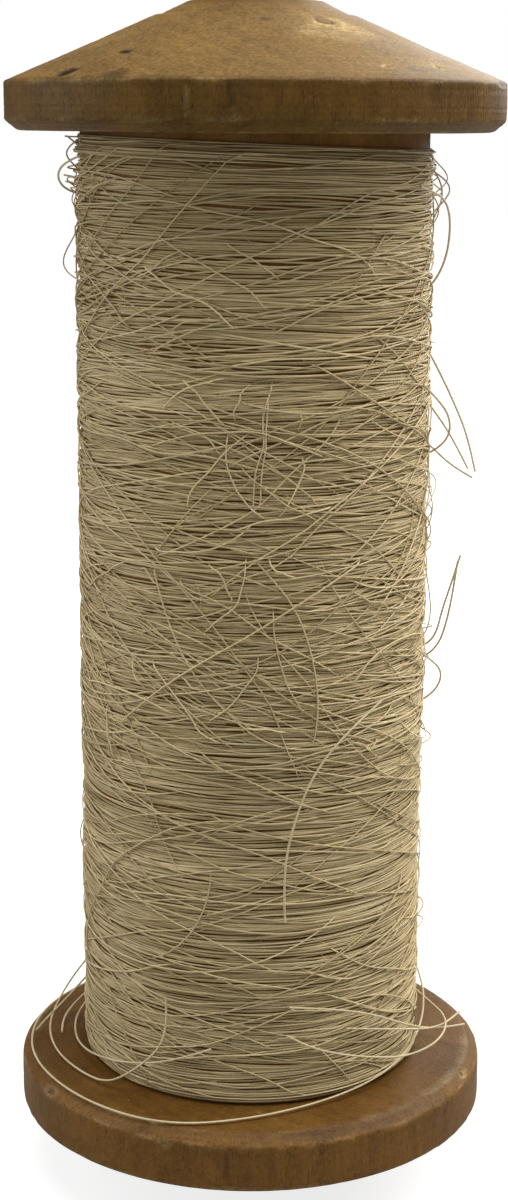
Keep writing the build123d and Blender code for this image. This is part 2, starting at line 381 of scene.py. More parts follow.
# one open NURBS line through its end points, as thick as the yarn
def makeLooseStrand(name, facts):
    curve = bpy.data.curves.new(name, "CURVE")
    curve.dimensions = "3D"
    curve.bevel_depth = yarnDiameter / 2
    curve.bevel_resolution = 2
    curve.resolution_u = 10
    curve.use_fill_caps = True
    points = np.array(facts["points"])
    spline = curve.splines.new("NURBS")
    spline.points.add(len(points) - 1)
    spline.points.foreach_set("co", np.column_stack([points, np.ones(len(points))]).ravel())
    spline.order_u = 3
    spline.use_endpoint_u = True
    strand = bpy.data.objects.new(name, curve)
    scene.collection.objects.link(strand)
    curve.materials.append(looseYarnMaterial)
    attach(strand, "root")
    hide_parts(facts["node"])


for strandName, strandFacts in looseStrands.items():
    makeLooseStrand(strandName, strandFacts)
print("stage: camera and loose strands made")


# mesh from arrays: each face set is one array with a row of point numbers for each face, uv layers hold two
# numbers for each corner of a face, and attributes one number for each point
def meshFromArrays(name, points, faceSets, material, uvLayers=None, attributes=None):
    mesh = bpy.data.meshes.new(name)
    loops = np.concatenate([faces.ravel() for faces in faceSets])
    sizes = np.concatenate([np.full(len(faces), faces.shape[1]) for faces in faceSets])
    starts = np.concatenate([[0], np.cumsum(sizes)[:-1]])
    mesh.vertices.add(len(points))
    mesh.vertices.foreach_set("co", points.astype(np.float32).ravel())
    mesh.loops.add(len(loops))
    mesh.loops.foreach_set("vertex_index", loops.astype(np.int32))
    mesh.polygons.add(len(sizes))
    mesh.polygons.foreach_set("loop_start", starts.astype(np.int32))
    mesh.polygons.foreach_set("loop_total", sizes.astype(np.int32))
    mesh.update(calc_edges=True)
    mesh.polygons.foreach_set("use_smooth", np.ones(len(sizes), bool))
    for label, coords in (uvLayers or {}).items():
        layer = mesh.uv_layers.new(name=label)
        layer.data.foreach_set("uv", coords.astype(np.float32).ravel())
    for label, values in (attributes or {}).items():
        layer = mesh.attributes.new(label, "FLOAT", "POINT")
        layer.data.foreach_set("value", values.astype(np.float32).ravel())
    mesh.materials.append(material)
    mesh.validate()
    piece = bpy.data.objects.new(name, mesh)
    scene.collection.objects.link(piece)
    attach(piece, "root")
    return piece


# faces of many tubes of rings: quads between neighbouring rings, then each tube's first and last ring as caps
def tubeFaces(count, rings, sides):
    index = np.arange(count * rings * sides).reshape(count, rings, sides)
    beside = np.roll(index, -1, 2)
    quads = np.stack([index[:, :-1], beside[:, :-1], beside[:, 1:], index[:, 1:]], -1)
    return [quads.reshape(-1, 4), index[:, 0, ::-1].reshape(-1, sides), index[:, -1].reshape(-1, sides)]


# value noise on a line: random heights at whole numbers, eased from one to the next by 3t^2 - 2t^3
def lineNoise(rng, places):
    base = np.floor(places).astype(int)
    base = base - base.min()
    heights = rng.standard_normal(base.max() + 2)
    ease = places - np.floor(places)
    ease = ease * ease * (3 - 2 * ease)
    return heights[base] * (1 - ease) + heights[base + 1] * ease


# value noise on a sheet that closes on itself in u (0 to 1): eased between random heights on a grid
def sheetNoise(rng, u, v, cellsU, cellsV):
    heights = rng.standard_normal((cellsU, cellsV + 2))
    a, b = u * cellsU, np.clip(v, 0, 1) * cellsV
    i, j = np.floor(a).astype(int), np.floor(b).astype(int)
    s, t = a - i, b - j
    s, t = s * s * (3 - 2 * s), t * t * (3 - 2 * t)
    left, right = i % cellsU, (i + 1) % cellsU
    near = heights[left, j] * (1 - s) + heights[right, j] * s
    far = heights[left, j + 1] * (1 - s) + heights[right, j + 1] * s
    return near * (1 - t) + far * t


# texture row of one thread: where its tube lies along the row and how much of the row's height it fills, and
# the small discs for its two ends
threadRow = {
    "tubeStart": 0.02,
    "tubeLength": 0.96,
    "tubeFill": 0.84,
    "discWidth": 0.006,
    "discFill": 0.4,
    "discPlaces": ((0.009, -1), (0.991, 1)),    # place along the row, and which way round its corners run
    "farthestStart": 900,                       # mm, so that no two threads show the same stretch of fibre
}


# texture places of the four corners of every quad, from arrays for each corner
def cornerUv(corners, shape):
    return np.stack([np.stack([np.broadcast_to(u, shape), np.broadcast_to(v, shape)], -1)
                     for u, v in corners], 3)


# texture places of all corners of many tubes, quads first and then the caps, as one list
def joinedUv(quadUv, capUv):
    return np.concatenate([part.reshape(-1, 2) for part in [quadUv] + capUv])


# tubes carried along many lines, each line given as degrees round from the front, height and radius in mm:
# point = centre + half width * (cos(turn) * outward + sin(turn) * sideways), with outward square to the line
def threadTubes(name, degrees, heights, radii, widths, tones, sides, material, rng):
    count, steps = degrees.shape
    turn = np.radians(degrees)
    away = np.stack([np.sin(turn), -np.cos(turn), np.zeros_like(turn)], -1)
    centre = away * radii[..., None]
    centre[..., 2] = heights
    centre *= millimetre
    along = np.gradient(centre, axis=1)
    run = np.linalg.norm(along, axis=2, keepdims=True)
    along = along / run
    outward = away - along * (away * along).sum(-1, keepdims=True)
    outward /= np.linalg.norm(outward, axis=2, keepdims=True)
    sideways = np.cross(along, outward)
    ring = 2 * np.pi * np.arange(sides) / sides
    half = np.broadcast_to(widths, (count, steps))[..., None, None] * (millimetre / 2)
    points = centre[:, :, None] + half * (np.cos(ring)[:, None] * outward[:, :, None]
                                          + np.sin(ring)[:, None] * sideways[:, :, None])
    # baking layout: one row for each thread
    shape = (count, steps - 1, sides)
    place = np.arange(steps) / (steps - 1) * threadRow["tubeLength"] + threadRow["tubeStart"]
    row = (np.arange(count) + 0.5) / count
    around = (np.arange(sides + 1) / sides - 0.5) * threadRow["tubeFill"] / count
    left, right = place[None, :-1, None], place[None, 1:, None]
    low, high = row[:, None, None] + around[None, None, :-1], row[:, None, None] + around[None, None, 1:]
    quadUv = cornerUv([(left, low), (left, high), (right, high), (right, low)], shape)
    disc = np.stack([np.cos(ring) * threadRow["discWidth"], np.sin(ring) * threadRow["discFill"] / count], -1)
    capUv = [np.stack([np.full(count, x), row], -1)[:, None] + disc[None, ::way]
             for x, way in threadRow["discPlaces"]]
    bakeUv = joinedUv(quadUv, capUv)
    # fibre layout: millimetres along the thread, and a part of a turn around it
    length = np.cumsum(np.concatenate([np.zeros((count, 1)), run[:, 1:, 0]], 1), 1) * perMetre
    length += rng.uniform(0, threadRow["farthestStart"], (count, 1))
    first, last = length[:, :-1, None], length[:, 1:, None]
    side = np.arange(sides)[None, None]
    lower, upper = side / sides, (side + 1) / sides
    quadUv = cornerUv([(first, lower), (first, upper), (last, upper), (last, lower)], shape)
    capUv = [np.stack([length[:, end], np.zeros(count)], -1)[:, None] + disc[None] for end in (0, -1)]
    threadUv = joinedUv(quadUv, capUv)
    toneValues = np.broadcast_to(tones[:, None, None], (count, steps, sides))
    piece = meshFromArrays(name, points.reshape(-1, 3), tubeFaces(count, steps, sides), material,
                           {"thread": threadUv, "OFBake": bakeUv}, {"tone": toneValues})
    return piece


def makeWoundYarnMaterial(look):
    material, tree, shader = newMaterial("woundYarn")
    uv = addNode(tree, "ShaderNodeUVMap", uv_map="thread").outputs["UV"]
    tone = addNode(tree, "ShaderNodeAttribute", attribute_name="tone").outputs["Fac"]
    point = objectPoint(tree)
    # broad soiled places on the whole winding, and painted shade towards its upper end under the upper head
    soil = noiseNode(tree, scaled(tree, point, (1.0, 1.0, 1.6)), 38.0, 3.0)
    height = heightOf(tree, point)
    upper = ranged(tree, height, look["upperFrom"], look["upperTo"], 0.0, look["upperShade"], True)
    shade = mathNode(tree, "SUBTRACT", tone, upper)
    shade = mathNode(tree, "MULTIPLY_ADD", soil, look["soil"], shade)
    shade = mathNode(tree, "SUBTRACT", shade, look["darker"])
    inputs = {"Vector": scaled(tree, uv, (0.22, 5.0, 1.0)), "Fine": 2.4, "Tone": shade,
              "Pale": look["pale"], "Deep": look["deep"]}
    useGroup(tree, shader, fibreGroup, inputs, 0.55, 0.00006)
    return material


woundYarnMaterial = makeWoundYarnMaterial(yarnLook)

# the whole winding: millimetres
winding = {
    "threadWidth": 0.375,
    "topSlope": 2.6,        # how much lower the top turns lie on the +X side
    "endGap": 0.15,         # from the outermost turns to the ends of the winding's box
    "sunkRadius": 31.75,    # where the ends of a laid strand sink to
}
packLow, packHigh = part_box("yarn_package")
woundBottom = packLow.z * perMetre + winding["endGap"]
woundTop = packHigh.z * perMetre - winding["endGap"]


# height of the winding's sloped upper end at a place round it
def topAt(degrees):
    return woundTop - winding["topSlope"] * (1 + np.sin(np.radians(degrees))) / 2


# a height held inside the winding, at least these distances from its lower and upper ends
def heldInside(height, degrees, lower, upper):
    return np.clip(height, woundBottom + lower, topAt(degrees) - upper)


# one random value for each strand, between a low and a high one
def each(rng, span, count):
    return rng.uniform(*span, (count, 1))


# shared waviness, which opens and closes the spaces between turns: a sum of slow waves in angle and height
def waviness(rng, degrees, heights, waveSets):
    total = np.zeros(np.broadcast(degrees, heights).shape)
    for size, spacing, waves in waveSets:
        for k in range(waves):
            around = np.radians(degrees) * rng.integers(-4, 5)
            up = 2 * np.pi / (spacing * rng.uniform(0.7, 1.4))
            total += size / math.sqrt(waves) * np.cos(around + up * heights + rng.uniform(0, 6.28))
    return total


# start + size * value noise for each size and number of changes in a unit of travel
def wandered(rng, start, travel, terms):
    for size, changes in terms:
        start = start + size * lineNoise(rng, travel * changes)
    return start


# size * value noise along each strand's own travel in mm, with the strands set apart on the line of noise
def strandNoise(rng, travel, size, spacing, apart):
    return size * lineNoise(rng, travel / spacing + apart * np.arange(len(travel))[:, None])


# base + the sum of size * exp(-((height - middle) / reach) ^ 2)
def withHumps(base, height, humps):
    for size, middle, reach in humps:
        base = base + size * np.exp(-((height - middle) / reach) ** 2)
    return base


# a laid strand's radius, sunk to the bed over a few millimetres at both ends
def tucked(radius, distance, length, sink):
    near = np.clip(np.minimum(distance, length - distance) / sink, 0, 1)
    return winding["sunkRadius"] + (radius - winding["sunkRadius"]) * near * (2 - near)


bedTurns = {
    "pitch": 0.42,
    "radius": 31.82,
    "steps": 73,
    "sides": 5,
    "calmTurns": 6,             # over which the waviness grows from each end
    "waves": ((0.47, 17.0, 14), (0.29, 6.5, 16), (0.16, 3.2, 18)),    # size, spacing, how many
    "wander": ((0.11, 7), (0.06, 17)),                                # size, changes in a turn
    "radiusWander": ((0.07, 9), (0.03, 23)),
    "deepest": 0.05,            # below the bed's own radius
    "widthWander": ((0.10, 11),),
    "widths": (0.30, 0.50),
    "toneSpread": 0.13,
}


# bed: a close helix, height = turn number * pitch + waviness + each turn's own wander
def makeBed(settings):
    rng = np.random.default_rng(11)
    turns, steps = int((woundTop - woundBottom) / settings["pitch"]), settings["steps"]
    number = np.arange(turns)[:, None]
    degrees = np.broadcast_to(np.linspace(-180, 180, steps)[None], (turns, steps))
    share = (number + degrees / 360 + 0.5) / turns
    height = woundBottom + share * (topAt(degrees) - woundBottom)
    travel = number + degrees / 360
    grown = np.clip(np.minimum(share, 1 - share) * turns / settings["calmTurns"], 0, 1)
    waves = waviness(rng, degrees, height, settings["waves"])
    height = height + grown * wandered(rng, waves, travel, settings["wander"])
    radius = wandered(rng, settings["radius"], travel, settings["radiusWander"])
    radius = np.clip(radius, settings["radius"] - settings["deepest"], None)
    width = winding["threadWidth"] * wandered(rng, 1, travel, settings["widthWander"])
    width = np.clip(width, *settings["widths"])
    tones = settings["toneSpread"] * rng.standard_normal(turns)
    half = turns // 2
    for name, part in (("bedTurnsLower", slice(0, half)), ("bedTurnsUpper", slice(half, turns))):
        piece = threadTubes(name, degrees[part], height[part], radius[part], width[part], tones[part],
                            settings["sides"], woundYarnMaterial, rng)
        if part.start == 0:
            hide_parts("yarn_package")


makeBed(bedTurns)
print("stage: bed of the winding made")

coverTurns = {
    "count": 400,
    "radius": 32.12,
    "turnRadius": 32.2,         # at which millimetres are turned into degrees
    "steps": 73,
    "sides": 5,
    "length": (60, 300),
    "fromLower": 1,             # nearest that a strand's middle comes to either end
    "fromUpper": 2,
    "spread": 1.1,              # degrees of slope
    "moreSpread": ((4.0, 128, 36), (2.6, 44, 13)),    # size, height and reach of carelessly laid places
    "wander": ((0.5, 38, 40), (0.12, 9, 90)),         # size, spacing, how far apart the strands' noise lies
    "radiusWander": (0.05, 11, 70),
    "margin": 0.3,
    "lift": (-0.08, 0.12),
    "sink": 9.0,
    "width": (0.75, 1.02),
    "toneSpread": 0.15,
}


# cover: long strands at small slopes, degrees = start + travel, height = start + slope * travel + wander
def makeCover(settings):
    rng = np.random.default_rng(23)
    count = settings["count"]
    length = each(rng, settings["length"], count)
    travel = np.linspace(0, 1, settings["steps"])[None] * length
    degrees = each(rng, (-180, 180), count) + np.degrees(travel / settings["turnRadius"])
    start = each(rng, (woundBottom + settings["fromLower"], woundTop - settings["fromUpper"]), count)
    spread = withHumps(settings["spread"], start, settings["moreSpread"])
    slope = np.tan(np.radians(rng.normal(0, 1, (count, 1)) * spread))
    wander = sum(strandNoise(rng, travel, *term) for term in settings["wander"])
    height = start + slope * (travel - length / 2) + wander
    height = heldInside(height, degrees, settings["margin"], settings["margin"])
    radius = settings["radius"] + each(rng, settings["lift"], count)
    radius = radius + strandNoise(rng, travel, *settings["radiusWander"])
    radius = tucked(radius, travel, length, settings["sink"])
    width = winding["threadWidth"] * each(rng, settings["width"], count)
    tones = settings["toneSpread"] * rng.standard_normal(count)
    half = count // 2
    for name, part in (("coverTurnsFirst", slice(0, half)), ("coverTurnsSecond", slice(half, count))):
        threadTubes(name, degrees[part], height[part], radius[part], width[part], tones[part],
                    settings["sides"], woundYarnMaterial, rng)


makeCover(coverTurns)


# strands with their own widths and tones, as one piece
def layStrands(name, degrees, height, radius, settings, rng):
    count = len(degrees)
    width = winding["threadWidth"] * each(rng, settings["width"], count)
    tones = settings["tone"] + settings["toneSpread"] * rng.standard_normal(count)
    threadTubes(name, degrees, height, radius, width, tones, settings["sides"], woundYarnMaterial, rng)


crossings = {
    "count": 410,
    "radius": 32.42,
    "turnRadius": 32.5,
    "steps": 30,
    "sides": 5,
    "length": (26, 135),
    "middles": (133, 32),       # height and spread of most of them
    "middleShare": 0.72,
    "lowMiddles": (45, 11),     # height and spread of one in six
    "lowEvery": 6,
    "steepest": 52,             # degrees
    "steepPower": 2.6,          # the more, the fewer of them are steep
    "leastSteep": 3.0,
    "steepBase": 0.22,
    "steepHumps": ((0.78, 138, 36), (0.40, 45, 16)),
    "downShare": 0.64,
    "curl": 30,
    "headingWander": (0.10, 9, 30),
    "margin": 0.5,
    "moreMargin": (0, 3),
    "lift": (-0.05, 0.3),
    "sink": 6.0,
    "width": (0.68, 0.92),
    "tone": 0.03,
    "toneSpread": 0.12,
}


# crossing strands: the heading turns slowly, degrees and height are the running sums of its cosine and sine
def makeCrossings(settings):
    rng = np.random.default_rng(37)
    count, steps = settings["count"], settings["steps"]
    length = each(rng, settings["length"], count)
    step = length / (steps - 1)
    travel = np.linspace(0, 1, steps)[None] * length
    middle = np.where(each(rng, (0, 1), count) < settings["middleShare"],
                      rng.normal(*settings["middles"], (count, 1)), each(rng, (woundBottom, woundTop), count))
    low = np.arange(count)[:, None] % settings["lowEvery"] == 0
    middle = np.where(low, rng.normal(*settings["lowMiddles"], (count, 1)), middle)
    steep = each(rng, (0, 1), count) ** settings["steepPower"] * settings["steepest"]
    steep = steep * withHumps(settings["steepBase"], middle, settings["steepHumps"]) + settings["leastSteep"]
    ways = rng.choice([-1, 1], (count, 1), p=[settings["downShare"], 1 - settings["downShare"]])
    heading = np.radians(ways * steep)
    heading = heading + np.radians(rng.normal(0, settings["curl"], (count, 1))) * (travel / length - 0.5)
    heading = heading + strandNoise(rng, travel, *settings["headingWander"])
    around = np.cumsum(np.cos(heading) * step, 1) / settings["turnRadius"]
    degrees = each(rng, (-180, 180), count) + np.degrees(around)
    height = middle + np.cumsum(np.sin(heading) * step, 1)
    margins = [settings["margin"] + each(rng, settings["moreMargin"], count) for end in ("lower", "upper")]
    height = heldInside(height, degrees, *margins)
    radius = tucked(settings["radius"] + each(rng, settings["lift"], count), travel, length, settings["sink"])
    layStrands("crossingStrands", degrees, height, radius, settings, rng)


makeCrossings(crossings)

liftedBows = {
    "count": 130,
    "radius": 31.8,
    "turnRadius": 33,
    "steps": 25,
    "sides": 5,
    "length": (12, 44),
    "steepest": 60,
    "steepPower": 2.2,
    "leastSteep": 4,
    "curl": 40,
    "fromLower": 8,
    "fromUpper": 14,
    "gatheredShare": 3,             # one in so many is gathered on the +X side, at half the height
    "gatheredPlace": (84, 20),      # degrees and their spread
    "gatheredHeight": (118, 22),
    "gatheredLift": 1.4,
    "highCount": 22,                # so many stand off further, high up on both sides
    "highSpread": 9,
    "highHeight": (187, 5),
    "highLength": (9, 20),
    "highLift": (0.3, 2.6),
    "lift": (0.7, 1.9),
    "margin": 0.5,
    "width": (0.6, 0.85),
    "tone": 0.08,
    "toneSpread": 0.12,
}


# bows: short stiff strands that stand off the winding in a low arch, radius = bed + lift * sin(pi * part) ^ 2
def makeBows(settings):
    rng = np.random.default_rng(53)
    count, steps = settings["count"], settings["steps"]
    number = np.arange(count)[:, None]
    length = each(rng, settings["length"], count)
    part = np.linspace(0, 1, steps)[None]
    ways = rng.choice([-1, 1], (count, 1))
    steep = each(rng, (0, 1), count) ** settings["steepPower"] * settings["steepest"] + settings["leastSteep"]
    heading = np.radians(ways * steep)
    heading = heading + np.radians(rng.normal(0, settings["curl"], (count, 1))) * (part - 0.5)
    begin = each(rng, (-180, 180), count)
    base = each(rng, (woundBottom + settings["fromLower"], woundTop - settings["fromUpper"]), count)
    gathered = number < count // settings["gatheredShare"]
    begin = np.where(gathered, rng.normal(*settings["gatheredPlace"], (count, 1)), begin)
    base = np.where(gathered, rng.normal(*settings["gatheredHeight"], (count, 1)), base)
    high = number >= count - settings["highCount"]
    side = np.where(number % 2 == 0, -90.0, 90.0)
    begin = np.where(high, rng.normal(side, settings["highSpread"], (count, 1)), begin)
    base = np.where(high, rng.normal(*settings["highHeight"], (count, 1)), base)
    length = np.where(high, each(rng, settings["highLength"], count), length)
    degrees = begin + np.degrees(np.cumsum(np.cos(heading), 1) * length / steps / settings["turnRadius"])
    height = base + np.cumsum(np.sin(heading), 1) * length / steps
    height = heldInside(height, degrees, settings["margin"], settings["margin"])
    lift = np.where(gathered, settings["gatheredLift"], 1.0) * each(rng, settings["lift"], count)
    lift = lift + high * each(rng, settings["highLift"], count)
    radius = settings["radius"] + lift * np.sin(np.pi * part) ** 2
    layStrands("liftedBows", degrees, height, radius, settings, rng)


makeBows(liftedBows)

# strands that lie over the front: start and end as degrees round from the front and height in mm, then how
# far the middle swings sideways in degrees and rises in mm
frontStrands = [
    ((-7, 150), (4, 134), -4, -2), ((5, 158), (0, 135), 0, 0), ((5, 156), (2, 136), 0, 0),
    ((-1, 158), (-7, 151), 0, 0), ((17, 153), (13, 149), 0, 0), ((16, 146), (8, 134), 2, 0),
    ((-22, 158), (-7, 150), 0, 0), ((-8, 158), (-29, 152), 0, 2), ((-29, 151), (-10, 145), 0, 2),
    ((-1, 149), (-21, 135), -3, 0), ((-33, 147), (23, 145), 0, 3), ((-33, 129), (-2, 133), 0, -3),
    ((24, 136), (-7, 132), 0, 0), ((-5, 144), (21, 134), 0, -2), ((-69, 181), (-29, 172), 0, 0),
    ((-36, 177), (-6, 167), 0, 1), ((-31, 182), (5, 170), 0, 1), ((-70, 175), (-41, 166), 0, 1),
    ((-9, 182), (7, 175), 0, 0), ((-22, 180), (-40, 175), 0, 0), ((-69, 188), (-47, 191), 0, 0),
    ((-12, 169), (-25, 166), 0, 0), ((-32, 126), (2, 96), -4, -4), ((-43, 125), (-68, 117), 0, 0),
    ((-71, 100), (-54, 87), 5, 3), ((-55, 97), (-51, 87), 0, 0), ((-34, 108), (-8, 93), 0, -2),
    ((-39, 125), (-30, 121), 0, 0), ((-13, 127), (-8, 118), 2, 0), ((-1, 127), (-15, 113), 2, -1),
    ((-70, 114), (-39, 112), 0, 0), ((-70, 100), (-24, 98), 0, 2), ((-18, 110), (-2, 111), 0, 0),
    ((-26, 106), (-16, 104), 0, 0), ((-39, 108), (-36, 102), -3, 0), ((2, 110), (-14, 98), 3, 0),
    ((-25, 122), (-8, 118), 0, 0), ((1, 127), (19, 93), 8, 0), ((37, 126), (-49, 94), 0, 2),
    ((3, 127), (14, 123), 0, 0), ((31, 122), (62, 118), 0, 0), ((32, 120), (50, 116), 0, 0),
    ((50, 116), (61, 117), 0, 0), ((5, 118), (17, 98), -3, 0), ((75, 108), (30, 104), 0, 4),
    ((75, 98), (18, 98), 0, 1), ((-4, 97), (12, 94), 0, 1), ((32, 94), (48, 88), 0, 0),
    ((44, 92), (34, 90), 0, 0), ((10, 108), (22, 106), 0, 0),
]

frontLook = {
    "radius": 32.42,
    "turnRadius": 33,
    "steps": 44,
    "sides": 6,
    "wander": ((0.7, 4), (0.45, 3)),    # size and changes along a strand, in degrees and then in mm
    "apart": 50,
    "lift": (0.15, 0.45),
    "sink": 2.5,
    "width": (0.72, 0.86),
    # paler than the wound threads: partly paler yarn, partly painted highlight
    "tone": 0.22,
    "toneSpread": 0.13,
}


# front strands on top of the winding:
# place = start + (end - start) * t + swing or rise * 4t(1 - t) + slow wander
def makeFrontStrands(strands, settings):
    rng = np.random.default_rng(5)
    count = len(strands)
    starts = np.array([strand[0] for strand in strands], float)
    ends = np.array([strand[1] for strand in strands], float)
    bends = np.array([strand[2:] for strand in strands], float)
    t = np.linspace(0, 1, settings["steps"])[None, :, None]
    laid = starts[:, None] + (ends - starts)[:, None] * t + bends[:, None] * 4 * t * (1 - t)
    rows = settings["apart"] * np.arange(count)[:, None]
    degrees, height = [laid[..., i] + size * lineNoise(rng, t[..., 0] * changes + rows)
                       for i, (size, changes) in enumerate(settings["wander"])]
    step = np.hypot(np.radians(np.diff(degrees, axis=1)) * settings["turnRadius"], np.diff(height, axis=1))
    travel = np.concatenate([np.zeros((count, 1)), np.cumsum(step, 1)], 1)
    radius = settings["radius"] + each(rng, settings["lift"], count)
    radius = tucked(radius, travel, travel[:, -1:], settings["sink"])
    layStrands("frontStrands", degrees, height, radius, settings, rng)


makeFrontStrands(frontStrands, frontLook)

yarnFuzz = {
    "count": 220,
    "radius": 32.1,
    "turnRadius": 32.4,
    "steps": 9,
    "sides": 3,
    "length": (2.0, 8.0),
    "curl": 35,
    "fromLower": 2,
    "fromUpper": 5,
    "margin": 0.4,
    "lift": (0.3, 1.5),
    "liftPower": 1.5,
    "width": (0.10, 0.22),      # millimetres, narrowing towards the free end
    "narrowing": 0.6,
    "tone": 0.2,
    "toneSpread": 0.12,
}


# fuzz: short thin ends that lift off the winding, radius = start + lift * part ^ 1.5
def makeFuzz(settings):
    rng = np.random.default_rng(71)
    count, steps = settings["count"], settings["steps"]
    length = each(rng, settings["length"], count)
    part = np.linspace(0, 1, steps)[None]
    heading = each(rng, (-180, 180), count) + rng.normal(0, settings["curl"], (count, 1)) * part
    heading = np.radians(heading)
    around = np.cumsum(np.cos(heading), 1) * length / steps / settings["turnRadius"]
    degrees = each(rng, (-180, 180), count) + np.degrees(around)
    height = each(rng, (woundBottom + settings["fromLower"], woundTop - settings["fromUpper"]), count)
    height = height + np.cumsum(np.sin(heading), 1) * length / steps
    height = heldInside(height, degrees, settings["margin"], settings["margin"])
    radius = settings["radius"] + each(rng, settings["lift"], count) * part ** settings["liftPower"]
    width = each(rng, settings["width"], count) * (1 - settings["narrowing"] * part)
    tones = settings["tone"] + settings["toneSpread"] * rng.standard_normal(count)
    threadTubes("yarnFuzz", degrees, height, radius, width, tones, settings["sides"], woundYarnMaterial, rng)


makeFuzz(yarnFuzz)
print("stage: cover, crossing strands and fuzz made")


# turned wood with its grain along Z: streaks, growth rings off the middle, lathe lines round the axis,
# paler worn places with painted sheen, and dark grime with painted shade
def makeWoodGroup():
    group, given, out = newGroup(
        "turnedWood",
        [("Vector", "Vector", None), ("Deep", "Color", (0.08, 0.035, 0.01, 1)),
         ("Warm", "Color", (0.3, 0.15, 0.05, 1)), ("WornAndSheen", "Color", (0.5, 0.36, 0.18, 1)),
         ("Wear", "Float", 0.0), ("Grime", "Float", 0.0), ("Scuffs", "Float", 0.5)],
        [("Color", "Color"), ("Height", "Float"), ("Gloss", "Float")])
    point = given["Vector"]
    flat = scaled(group, point, (1.0, 1.0, 0.0))
    lathePlace = mathNode(group, "MULTIPLY_ADD", heightOf(group, point), 0.8, lengthOf(group, flat))
    lathe = lineNoiseNode(group, lathePlace, 900.0, 4.0, 0.7)
    streaks = noiseNode(group, scaled(group, point, (1.0, 1.0, 0.07)), 1300.0, 5.0, 0.62)
    broad = noiseNode(group, scaled(group, point, (1.0, 1.0, 0.6)), 90.0, 6.0, 0.66)
    # growth rings round a pith that lies outside the piece, bent a little by the broad pattern
    fromPith = addNode(group, "ShaderNodeVectorMath", {0: flat, 1: (0.058, 0.021, 0.0)}, operation="SUBTRACT")
    pithReach = weighted(group, lengthOf(group, fromPith.outputs[0]), ((broad, 0.004),))
    years = lineNoiseNode(group, pithReach, 420.0, 2.0)
    pores = noiseNode(group, scaled(group, point, (1.0, 1.0, 0.14)), 3600.0, 1.0, 0.5)
    pores = ranged(group, pores, 0.60, 0.72, 0.0, 1.0, True)
    specks = noiseNode(group, point, 1700.0, 3.0, 0.65)
    mottle = noiseNode(group, scaled(group, point, (1.0, 1.0, 0.7)), 330.0, 4.0, 0.6, 0.3)
    tone = weighted(group, -0.44, ((streaks, 0.34), (specks, 0.85), (broad, 1.05), (years, 0.35),
                                   (lathe, 0.14), (mottle, 0.42), (pores, -0.25)))
    colour = mixColour(group, ranged(group, tone, 0.60, 1.68), given["Deep"], given["Warm"])
    # scuffs: broken pale lines and specks where the finish is rubbed
    rubbed = noiseNode(group, point, 420.0, 6.0, 0.72, 0.4)
    rubbed = ranged(group, rubbed, 0.58, 0.74, 0.0, 0.8, True)
    rubbed = mathNode(group, "MULTIPLY", rubbed, given["Scuffs"])
    broken = ranged(group, weighted(group, 0.0, ((streaks, 0.4), (specks, 0.6))), 0.40, 0.62)
    # wear from the mesh, with the painted sheen on the cone and the rubs
    wear = mathNode(group, "MULTIPLY", weighted(group, 0.2, ((broken, 0.8),)), given["Wear"])
    wear = mathNode(group, "ADD", wear, rubbed, clamp=True)
    # the pale worn colour paints sheen as well as wear
    colour = mixColour(group, wear, colour, given["WornAndSheen"])
    # grime and painted shade darken the wood towards this dark brown
    dirtAndShade = mathNode(group, "MULTIPLY", given["Grime"], weighted(group, 1.0, ((rubbed, -0.5),)), clamp=True)
    colour = mixColour(group, dirtAndShade, colour, (0.021, 0.011, 0.0035, 1.0))
    relief = weighted(group, 0.0, ((streaks, 0.4), (lathe, 0.22), (specks, 0.35), (pores, -0.5)))
    gloss = mathNode(group, "MULTIPLY_ADD", wear, 0.18, weighted(group, 0.33, ((broad, 0.30),)), clamp=True)
    for label, value in (("Color", colour), ("Height", relief), ("Gloss", gloss)):
        feed(group, out[label], value)
    return group


woodGroup = makeWoodGroup()
woodLooks = {
    # one wood for both heads: the upper's darker colours are painted shade, the lower's paler ones painted
    # floor bounce
    "upper": {"deep": (0.046, 0.018, 0.0015, 1), "warm": (0.228, 0.118, 0.020, 1),
              "wornAndSheen": (0.62, 0.45, 0.20, 1), "scuffs": 0.14, "shine": 0.15, "relief": 0.6},
    "lower": {"deep": (0.064, 0.024, 0.002, 1), "warm": (0.255, 0.122, 0.022, 1),
              "wornAndSheen": (0.54, 0.39, 0.19, 1), "scuffs": 0.24, "shine": 0.18, "relief": 0.6},
    # barrel colours raised to lift its shadowed strip under the upper head: painted light
    "barrel": {"deep": (0.115, 0.046, 0.008, 1), "warm": (0.310, 0.152, 0.036, 1),
               "wornAndSheen": (0.30, 0.18, 0.06, 1), "scuffs": 0.12, "shine": 0.15, "relief": 0.5},
}


# turned wood in a material: with marks, it reads the wear with painted sheen and the grime with painted shade
# that the mesh carries
def makeWoodMaterial(name, look, withMarks):
    material, tree, shader = newMaterial(name)
    inputs = {"Vector": objectPoint(tree), "Deep": look["deep"], "Warm": look["warm"], "WornAndSheen": look["wornAndSheen"],
              "Scuffs": look["scuffs"]}
    if withMarks:
        for label in ("Wear", "Grime"):
            inputs[label] = addNode(tree, "ShaderNodeAttribute", attribute_name=label.lower()).outputs["Fac"]
    useGroup(tree, shader, woodGroup, inputs, look["relief"], 0.00022)
    shader.inputs["Specular IOR Level"].default_value = look["shine"]
    return material


upperHeadWoodPaintedShade = makeWoodMaterial("upperHeadWoodPaintedShade", woodLooks["upper"], True)
lowerHeadWoodPaintedBounce = makeWoodMaterial("lowerHeadWoodPaintedBounce", woodLooks["lower"], True)
barrelWoodPaintedLight = makeWoodMaterial("barrelWoodPaintedLight", woodLooks["barrel"], False)

